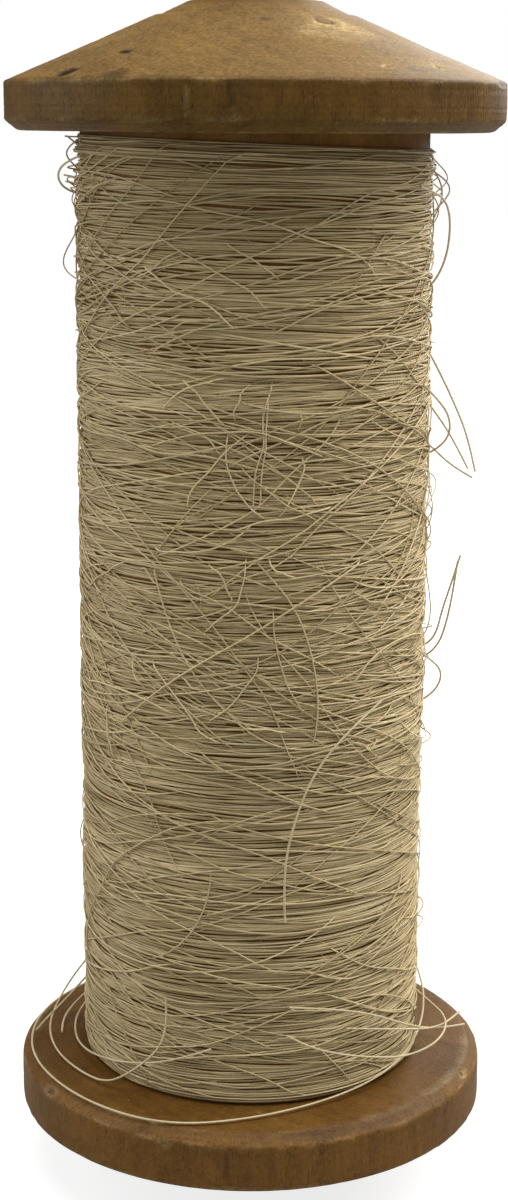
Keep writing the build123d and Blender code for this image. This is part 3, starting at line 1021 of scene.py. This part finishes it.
# both heads' shape: millimetres
headShape = {
    "chamferHeight": 1.9,
    "chamferWidth": 2.3,
    "coneHeight": 11.5,
    "shoulderRadius": 18.0,
    "hubBaseRadius": 17.2,
    "hubRadius": 12.0,
    "hubHeight": 2.5,
    "flangeRadius": 11.05,
    "flangeDepth": 1.2,
    "sleeveRadius": 6.55,
    "socketRadius": 12.05,
    "socketDepth": 12.0,
    "skinRadius": 12.9,         # the outer skin lies outside this
    "nailCircle": 21.3,
    "nailSeat": 1.36,
    "nailRadius": 1.25,
    "turns": 408,
}
# what each head has of its own: places in degrees round from the front, radii and heights in mm, the heights
# above the inner face
upperHead = {
    "node": "upper_head",
    "nailNode": "upper_head_nails",
    "slot": "upper_head_wood",
    "material": upperHeadWoodPaintedShade,
    "nails": (4.0, 33.0, 184.0, 213.0),
    "sunk": (4.0, 184.0),
    "seed": 3,
    # painted shade on the rim
    "rimShade": 0.22,
    # painted sheen on the cone
    "coneSheen": 0.14,
    # painted shade on the inner face, under the winding
    "faceShade": 0.10,
    # place round, radius, height, size, stretch round the axis, depth, how dark, how pale its border
    "marks": [
        (-48, 42.5, 9.7, 1.5, 1.05, 0.5, 1.8, 0.1), (-32, 43.1, 9.4, 1.5, 1.8, 0.05, 0.62, 0.0),
        (-39, 34.2, 13.2, 0.9, 1.5, 0.10, 1.3, 0.0), (33, 39.8, 10.8, 0.8, 1.2, 0.30, 0.3, 0.8),
        (51, 39.7, 10.9, 0.8, 1.3, 0.32, 0.1, 0.9), (74, 44.7, 8.3, 0.5, 7.0, 0.35, 1.0, 0.1),
        (120, 44.2, 8.9, 0.9, 1.6, 0.5, 0.5, 0.6), (205, 43.0, 9.4, 1.1, 1.4, 0.4, 0.7, 0.5),
        (262, 40.0, 10.7, 0.7, 1.5, 0.3, 0.6, 0.4), (150, 33.0, 13.7, 0.9, 1.3, 0.25, 0.3, 0.7),
    ],
    # pale rubbed places, partly real wear and partly painted sheen on the lit side: place round, radius,
    # spread in degrees, spread in radius, strength
    "rubsAndSheen": [
        (36, 23.8, 13, 4.2, 1.25), (22, 27.5, 10, 2.5, 0.35), (50, 38.0, 22, 3.5, 0.22),
        (-70, 30.0, 20, 5.0, 0.15), (190, 30, 30, 5, 0.35),
    ],
    # cracks and lines down the rim: place round, lowest and highest height, half width, how dark, how pale
    "lines": [
        (-14, 2.5, 7.5, 0.22, 0.0, 0.28), (-5, 4.0, 8.4, 0.5, 0.45, 0.0), (138, 1.9, 8.6, 0.3, 0.8, 0.0),
        (221, 2.4, 8.0, 0.25, 0.6, 0.2),
    ],
}
lowerHead = {
    "node": "lower_head",
    "nailNode": "lower_head_nails",
    "slot": "lower_head_wood",
    "material": lowerHeadWoodPaintedBounce,
    "nails": (20.0, 49.0, 200.0, 229.0),
    "sunk": (),
    "seed": 8,
    # painted shade on the rim
    "rimShade": 0.0,
    # painted sheen on the cone
    "coneSheen": 0.0,
    # painted shade on the inner face, in the shade of the winding and the upper head
    "faceShade": 0.22,
    "marks": [
        (18, 43.9, 1.0, 1.1, 6.0, 0.08, 0.38, 0.0), (36, 44.0, 1.1, 1.0, 6.0, 0.08, 0.34, 0.0),
        (-58, 44.4, 1.6, 0.8, 1.8, 0.35, 0.5, 0.5), (68, 43.6, 0.9, 0.8, 1.6, 0.35, 0.2, 0.8),
        (-20, 44.8, 2.6, 0.6, 1.5, 0.20, 0.4, 0.4), (110, 44.5, 10.0, 1.0, 1.8, 0.5, 0.6, 0.5),
        (240, 43.9, 1.1, 0.9, 1.8, 0.4, 0.5, 0.6), (170, 36.0, 14.0, 1.0, 1.5, 0.3, 0.5, 0.5),
    ],
    # pale rubbed places, partly real wear and partly painted sheen on the lit side
    "rubsAndSheen": [(66, 40.0, 24, 3.0, 0.30), (-30, 40.0, 25, 4.0, 0.10), (200, 38, 30, 6, 0.3)],
    "lines": [
        (-5, 2.2, 9.6, 0.35, 0.5, 0.0), (-27, 4.0, 9.0, 0.25, 0.3, 0.0), (31, 3.0, 8.0, 0.25, 0.25, 0.1),
        (155, 2.0, 10.4, 0.3, 0.9, 0.0), (262, 2.0, 9.0, 0.25, 0.7, 0.1),
    ],
}


# a head's radius, its length along the axis and the height at which its cone meets the rim, all in mm
def headSizes(low, high, shape):
    length = (high.z - low.z) * perMetre
    return high.x * perMetre, length, length - shape["coneHeight"] - shape["hubHeight"]


# heights above a head's inner face carried to the bobbin's own: the lower head is upside down
def onBobbin(height, low, high, sideways):
    return low.z * perMetre + height if sideways > 0 else high.z * perMetre - height


# corners of a head's closed half section, as radius and height above the inner face, with how far each is
# softened and how many points lie on the run after it
def headSection(headRadius, length, edge, shape):
    shoulder = edge + shape["coneHeight"]
    recess = length - shape["flangeDepth"]
    return np.array([
        (shape["socketRadius"], 0.0, 0.10, 26),
        (headRadius - shape["chamferWidth"], 0.0, 0.45, 8),
        (headRadius, shape["chamferHeight"], 0.40, 20),
        (headRadius, edge, 0.34, 84),
        (shape["shoulderRadius"], shoulder, 0.38, 1),
        (shape["hubBaseRadius"], shoulder, 0.38, 14),
        (shape["hubRadius"], length, 0.30, 2),
        (shape["flangeRadius"], length, 0.06, 1),
        (shape["flangeRadius"], recess, 0.04, 4),
        (shape["sleeveRadius"], recess, 0.04, 6),
        (shape["sleeveRadius"], shape["socketDepth"], 0.04, 4),
        (shape["socketRadius"], shape["socketDepth"], 0.04, 6),
    ])


# closed section line: each corner is a quadratic arc (1-t)^2 A + 2t(1-t) C + t^2 B between points A and B
# a little way along its two runs, with evenly spaced points between arcs
def softenedLoop(rows):
    corner, soft, counts = rows[:, :2], rows[:, 2:3], rows[:, 3].astype(int)
    toNext = np.roll(corner, -1, 0) - corner
    toNext = toNext / np.linalg.norm(toNext, axis=1, keepdims=True)
    before = corner - np.roll(toNext, 1, 0) * soft
    after = corner + toNext * soft
    t = np.linspace(0, 1, 5)[:, None, None]
    arcs = (1 - t) ** 2 * before + 2 * t * (1 - t) * corner + t ** 2 * after
    runs = []
    for i, count in enumerate(counts):
        u = np.linspace(0, 1, count + 2)[1:-1, None]
        runs.append(np.concatenate([arcs[:, i], after[i] * (1 - u) + before[(i + 1) % len(rows)] * u]))
    return np.concatenate(runs)


# signed degrees from a place round the axis, -180 to 180
def degreesFrom(place, degrees):
    return (degrees - place + 180) % 360 - 180


# a head's skin before its marks: how far it is pushed out, how worn and how grimy it is, from slow
# unevenness, lathe ridges and ragged edges, with painted shade on the rim and on the inner face and painted
# sheen on the cone
def unmarkedSkin(rng, head, shape, grid, rows, loop):
    u, v, radius, height = grid["u"], grid["v"], grid["radius"], grid["height"]
    skin = np.clip((radius - shape["skinRadius"]) / 1.5, 0, 1)
    nearEdge = sum(np.exp(-((radius - r) ** 2 + (height - h) ** 2) / 0.55 ** 2) for r, h in rows[1:4, :2])
    ragged = sheetNoise(rng, u, v, 150, 70) * 0.5 + sheetNoise(rng, u, v, 46, 30) * 0.6
    slow = sheetNoise(rng, u, v, 9, 8) * 0.05 + sheetNoise(rng, u, v, 40, 26) * 0.018
    arc = np.cumsum(np.linalg.norm(np.diff(loop, axis=0, append=loop[:1]), axis=1))
    ridges = 0.013 * lineNoise(rng, arc / 0.45)[None]
    push = skin * (slow + ridges - nearEdge * (0.03 + 0.12 * np.clip(ragged, 0, 1.6)))
    wear = skin * nearEdge * np.clip(0.10 + 0.30 * ragged, 0, 1)
    grime = skin * np.clip(sheetNoise(rng, u, v, 26, 22) - 1.25, 0, 1) * 0.24
    # painted shade: the rim darker
    grime = grime + head["rimShade"] * np.clip((radius - grid["headRadius"] + 1.2) / 0.6, 0, 1)
    # painted shade: the inner face darker
    grime = grime + head["faceShade"] * skin * np.clip((1.0 - height) / 0.6, 0, 1)
    # painted sheen: the cone paler, towards the pale worn colour
    wear = wear + head["coneSheen"] * skin * np.clip((height - grid["edge"]) / 0.6, 0, 1)
    return push, wear, grime, ragged


# dents and stains, depth * exp(-distance ^ 4) with a pale border, then rubs, partly painted sheen, and then
# lines down the rim
def addMarks(rng, head, grid, push, wear, grime, ragged):
    degrees, radius, height, edge = grid["degrees"], grid["radius"], grid["height"], grid["edge"]
    for place, r, h, size, stretch, depth, dark, pale in head["marks"]:
        across = np.radians(degreesFrom(place, degrees)) * r / stretch
        away = np.sqrt(across ** 2 + (radius - r) ** 2 + (height - h) ** 2) / size
        away = away * (1 + 0.25 * ragged)
        push = push - depth * np.exp(-away ** 4)
        grime = grime + dark * np.exp(-away ** 4)
        wear = wear + pale * np.exp(-((away - 0.9) / 0.45) ** 2)
    onCone = (height > edge * 0.98) | (radius > 41.5)
    # rubs: pale wear and painted sheen
    for place, r, wide, tall, strength in head["rubsAndSheen"]:
        rubAndSheen = np.exp(-(degreesFrom(place, degrees) / wide) ** 2 - ((radius - r) / tall) ** 2) * onCone
        broken = np.clip(0.7 + 0.5 * sheetNoise(rng, grid["u"], grid["v"], 60, 50), 0, 1.4)
        wear = wear + strength * rubAndSheen * broken
    for place, bottom, top, wide, dark, pale in head["lines"]:
        bend = place + 0.4 * lineNoise(rng, height[0] / 1.7 + 3)[None]
        apart = np.radians(degreesFrom(bend, degrees)) * grid["headRadius"]
        onRim = (radius > grid["headRadius"] - 2.4) & (height > bottom) & (height < top)
        line = np.exp(-(apart / max(wide, 0.3)) ** 2) * onRim
        grime = grime + dark * line
        wear = wear + pale * line
        push = push - 0.18 * dark * line
    return push, wear, grime


# nail seats: shallow round dips, bruised at the edge, or only a dark spot where a nail is sunk under the wood
def addNailSeats(head, shape, grid, push, grime, sideways):
    onCone = grid["height"] > grid["edge"]
    for place in head["nails"]:
        x = shape["nailCircle"] * math.sin(math.radians(place))
        y = -shape["nailCircle"] * math.cos(math.radians(place)) * sideways
        away = np.hypot(grid["radius"] * np.sin(grid["turn"]) - x, -grid["radius"] * np.cos(grid["turn"]) - y)
        if place in head["sunk"]:
            push = push - 0.10 * onCone * np.exp(-(away / 0.9) ** 4)
            grime = grime + 0.45 * onCone * np.exp(-(away / 0.9) ** 2)
            continue
        bruise = np.exp(-((away - shape["nailSeat"]) / 0.4) ** 2) * onCone
        push = push - 0.14 * onCone * np.clip((shape["nailSeat"] - away) / 0.3, 0, 1) - 0.07 * bruise
        grime = grime + 0.5 * bruise
    return push, grime


# turned head: (radius(s) sin a, -radius(s) cos a, height(s)), moved along the section's own outward direction
def makeHead(name, head, shape, sideways):
    rng = np.random.default_rng(head["seed"])
    low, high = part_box(head["node"])
    headRadius, length, edge = headSizes(low, high, shape)
    rows = headSection(headRadius, length, edge, shape)
    loop = softenedLoop(rows)
    ahead = np.roll(loop, -1, 0) - np.roll(loop, 1, 0)
    ahead = ahead / np.linalg.norm(ahead, axis=1, keepdims=True)
    steps, turns = len(loop), shape["turns"]
    part = np.arange(turns)[:, None] / turns
    grid = {
        "u": part + np.zeros((1, steps)),
        "v": np.linspace(0, 1, steps)[None] + np.zeros((turns, 1)),
        "turn": 2 * np.pi * part,
        "degrees": part * 360,
        "radius": loop[None, :, 0],
        "height": loop[None, :, 1],
        "headRadius": headRadius,
        "edge": edge,
    }
    push, wear, grime, ragged = unmarkedSkin(rng, head, shape, grid, rows, loop)
    push, wear, grime = addMarks(rng, head, grid, push, wear, grime, ragged)
    push, grime = addNailSeats(head, shape, grid, push, grime, sideways)
    radius = grid["radius"] + push * ahead[None, :, 1]
    height = grid["height"] - push * ahead[None, :, 0]
    z = onBobbin(height, low, high, sideways)
    points = np.stack([radius * np.sin(grid["turn"]), -radius * np.cos(grid["turn"]), z], -1) * millimetre
    index = np.arange(turns * steps).reshape(turns, steps)
    beside, above = np.roll(index, -1, 0), np.roll(index, -1, 1)
    quads = np.stack([index, beside, np.roll(beside, -1, 1), above], -1).reshape(-1, 4)
    if sideways < 0:
        quads = quads[:, ::-1]
    piece = meshFromArrays(name, points.reshape(-1, 3), [quads], head["material"], None,
                           {"wear": np.clip(wear, 0, 1), "grime": np.clip(grime, 0, 1)})
    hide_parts(head["node"])


makeHead("turnedUpperHead", upperHead, headShape, 1)
makeHead("turnedLowerHead", lowerHead, headShape, -1)
print("stage: heads made")


# old metal: base and tarnish colours in soft blotches, with fine marks and pits
def makeMetalGroup():
    group, given, out = newGroup(
        "agedMetal",
        [("Vector", "Vector", None), ("Bright", "Color", (0.7, 0.5, 0.2, 1)),
         ("Tarnish", "Color", (0.2, 0.12, 0.05, 1)), ("Amount", "Float", 0.5)],
        [("Color", "Color"), ("Height", "Float"), ("Gloss", "Float"), ("Metal", "Float")])
    blotches = noiseNode(group, given["Vector"], 260.0, 5.0, 0.68, 0.3)
    specks = noiseNode(group, given["Vector"], 2200.0, 3.0, 0.6)
    flat = scaled(group, given["Vector"], (1.0, 1.0, 0.0))
    turned = lineNoiseNode(group, lengthOf(group, flat), 3500.0, 3.0)
    cover = mathNode(group, "ADD", blotches, given["Amount"])
    cover = ranged(group, weighted(group, cover, ((specks, 0.35),)), 0.95, 1.35, 0.0, 1.0, True)
    feed(group, out["Color"], mixColour(group, cover, given["Bright"], given["Tarnish"]))
    feed(group, out["Height"], weighted(group, specks, ((turned, 0.5),)))
    feed(group, out["Gloss"], ranged(group, cover, 0.0, 1.0, 0.28, 0.72))
    feed(group, out["Metal"], ranged(group, cover, 0.0, 1.0, 1.0, 0.15))
    return group


metalGroup = makeMetalGroup()
metalLooks = {
    "brass": {"bright": (0.56, 0.38, 0.14, 1), "tarnish": (0.16, 0.09, 0.035, 1), "amount": 0.50},
    "steel": {"bright": (0.30, 0.22, 0.14, 1), "tarnish": (0.190, 0.105, 0.045, 1), "amount": 0.85},
}


def makeMetalMaterial(name, look):
    material, tree, shader = newMaterial(name)
    inputs = {"Vector": objectPoint(tree), "Bright": look["bright"], "Tarnish": look["tarnish"],
              "Amount": look["amount"]}
    made = useGroup(tree, shader, metalGroup, inputs, 0.4, 0.00006)
    feed(tree, shader.inputs["Metallic"], made["Metal"])
    return material


agedBrass = makeMetalMaterial("agedBrass", metalLooks["brass"])
rustySteel = makeMetalMaterial("rustySteel", metalLooks["steel"])
for nodeName, finish in (("barrel", barrelWoodPaintedLight), ("upper_bush", agedBrass), ("lower_bush", agedBrass),
                         ("upper_bush_pins", rustySteel), ("lower_bush_pins", rustySteel)):
    kept = nodes[nodeName]
    kept.data.materials.clear()
    kept.data.materials.append(finish)
print("stage: metal and barrel finished")

nailShape = {
    "sides": 24,
    "parts": (0.5, 1.0, 1.0, 1.0, 0.92, 0.7, 0.4, 0.12),    # of the nail's radius, from its foot over its top
    "rises": (0.0, 0.0, 0.5, 1.0, 1.0, 1.0, 1.0, 1.0),      # from the foot's height to the top's
    "sink": 0.07,               # under the cone
    "deepSink": 0.5,            # where the nail lies under the wood
    "dome": 0.10,
}


# nails: upright round bars whose tops follow the cone, height = cone - sink + dome * (1 - part ^ 2)
def makeNails(name, head, shape, nail, sideways):
    low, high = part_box(head["node"])
    nailLow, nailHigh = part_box(head["nailNode"])
    headRadius, length, edge = headSizes(low, high, shape)
    slope = shape["coneHeight"] / (headRadius - shape["shoulderRadius"])
    foot = (nailLow.z - low.z) * perMetre if sideways > 0 else (high.z - nailHigh.z) * perMetre
    place = np.radians(head["nails"])[:, None, None]
    sink = np.where(np.isin(head["nails"], head["sunk"]), nail["deepSink"], nail["sink"])[:, None, None]
    sides = nail["sides"]
    ring = (2 * np.pi * np.arange(sides) / sides)[None, None]
    part, rise = np.array(nail["parts"])[None, :, None], np.array(nail["rises"])[None, :, None]
    outwards = shape["nailCircle"] + shape["nailRadius"] * part * np.cos(ring) + 0 * place
    across = shape["nailRadius"] * part * np.sin(ring) + 0 * place
    top = edge + slope * (headRadius - outwards) - sink + nail["dome"] * (1 - part ** 2)
    height = foot * (1 - rise) + top * rise
    x = outwards * np.sin(place) + across * np.cos(place)
    y = (-outwards * np.cos(place) + across * np.sin(place)) * sideways
    z = onBobbin(height, low, high, sideways)
    piece = meshFromArrays(name, np.stack([x, y, z], -1).reshape(-1, 3) * millimetre,
                           tubeFaces(*x.shape), rustySteel)
    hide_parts(head["nailNode"])


makeNails("upperNails", upperHead, headShape, nailShape, 1)
makeNails("lowerNails", lowerHead, headShape, nailShape, -1)
print("stage: nails made")

paleFloor = {
    "halfWidth": 4,             # metres
    "dark": (0.36, 0.36, 0.36, 1),
    "pale": (0.40, 0.40, 0.40, 1),
    "glowNear": 0.80,           # how white it looks to the camera near the bobbin, and further away
    "glowFar": 1.0,
    "nearReach": 0.06,
    "farReach": 0.32,
}


# pale floor: a plain square under the lower hub
def makeFloor(height, look):
    material, tree, shader = newMaterial("paleFloor")
    point = objectPoint(tree)
    colour = mixColour(tree, noiseNode(tree, point, 6.0, 2.0), look["dark"], look["pale"])
    feed(tree, shader.inputs["Base Color"], colour)
    # looks white to the camera, and throws little light back up
    glow = ranged(tree, lengthOf(tree, point), look["nearReach"], look["farReach"], look["glowNear"],
                  look["glowFar"], True)
    seen = addNode(tree, "ShaderNodeLightPath").outputs["Is Camera Ray"]
    feed(tree, shader.inputs["Emission Strength"], mathNode(tree, "MULTIPLY", glow, seen))
    shader.inputs["Emission Color"].default_value = (1.0, 1.0, 1.0, 1.0)
    shader.inputs["Roughness"].default_value = 0.9
    shader.inputs["Specular IOR Level"].default_value = 0.1
    half = look["halfWidth"]
    corners = ((-half, -half), (half, -half), (half, half), (-half, half))
    mesh = bpy.data.meshes.new("paleFloor")
    mesh.from_pydata([(x, y, height) for x, y in corners], [], [(0, 1, 2, 3)])
    mesh.materials.append(material)
    floor = bpy.data.objects.new("paleFloor", mesh)
    scene.collection.objects.link(floor)


makeFloor(cadLow.z, paleFloor)

# lights: place and aim in metres, size in metres, power in watts
lightSettings = {
    "keyFromRight": {"place": (0.62, 0.08, 0.60), "aim": (0, 0, 0.11), "size": 0.5, "power": 4.8,
                     "colour": (1.0, 0.985, 0.95)},
    "backRight": {"place": (0.42, 0.80, 0.52), "aim": (0.02, 0, 0.14), "size": 0.6, "power": 4.8,
                  "colour": (1.0, 0.96, 0.88)},
    "sideFromLeft": {"place": (-0.68, 0.02, 0.42), "aim": (0, 0, 0.11), "size": 0.5, "power": 2.4,
                     "colour": (1.0, 1.0, 1.0)},
    "softOverhead": {"place": (0.06, -0.16, 0.95), "aim": (0, 0, 0.1), "size": 0.8, "power": 7.8,
                     "colour": (1.0, 0.995, 0.98)},
    "frontFill": {"place": (-0.10, -1.05, 0.25), "aim": (0, 0, 0.11), "size": 0.6, "power": 0.75,
                  "colour": (1.0, 0.99, 0.96)},
}


def makeLight(name, facts):
    data = bpy.data.lights.new(name, "AREA")
    data.shape = "SQUARE"
    data.size = facts["size"]
    data.energy = facts["power"]
    data.color = facts["colour"]
    light = bpy.data.objects.new(name, data)
    scene.collection.objects.link(light)
    light.location = facts["place"]
    aim = Vector(facts["aim"]) - Vector(facts["place"])
    light.rotation_euler = aim.to_track_quat("-Z", "Y").to_euler()


for lightName, lightFacts in lightSettings.items():
    makeLight(lightName, lightFacts)

surround = {"seen": 1.0, "shed": 0.17}


# studio surround: white to look at, dimmer as light on the object
def makeSurround(settings):
    world = bpy.data.worlds.new("studio")
    scene.world = world
    world.use_nodes = True
    tree = world.node_tree
    seen = addNode(tree, "ShaderNodeLightPath").outputs["Is Camera Ray"]
    background = tree.nodes["Background"]
    background.inputs["Color"].default_value = (1.0, 1.0, 1.0, 1.0)
    strength = ranged(tree, seen, 0.0, 1.0, settings["shed"], settings["seen"])
    feed(tree, background.inputs["Strength"], strength)


makeSurround(surround)
scene.view_settings.view_transform = "Standard"
print("stage: floor and lights made")
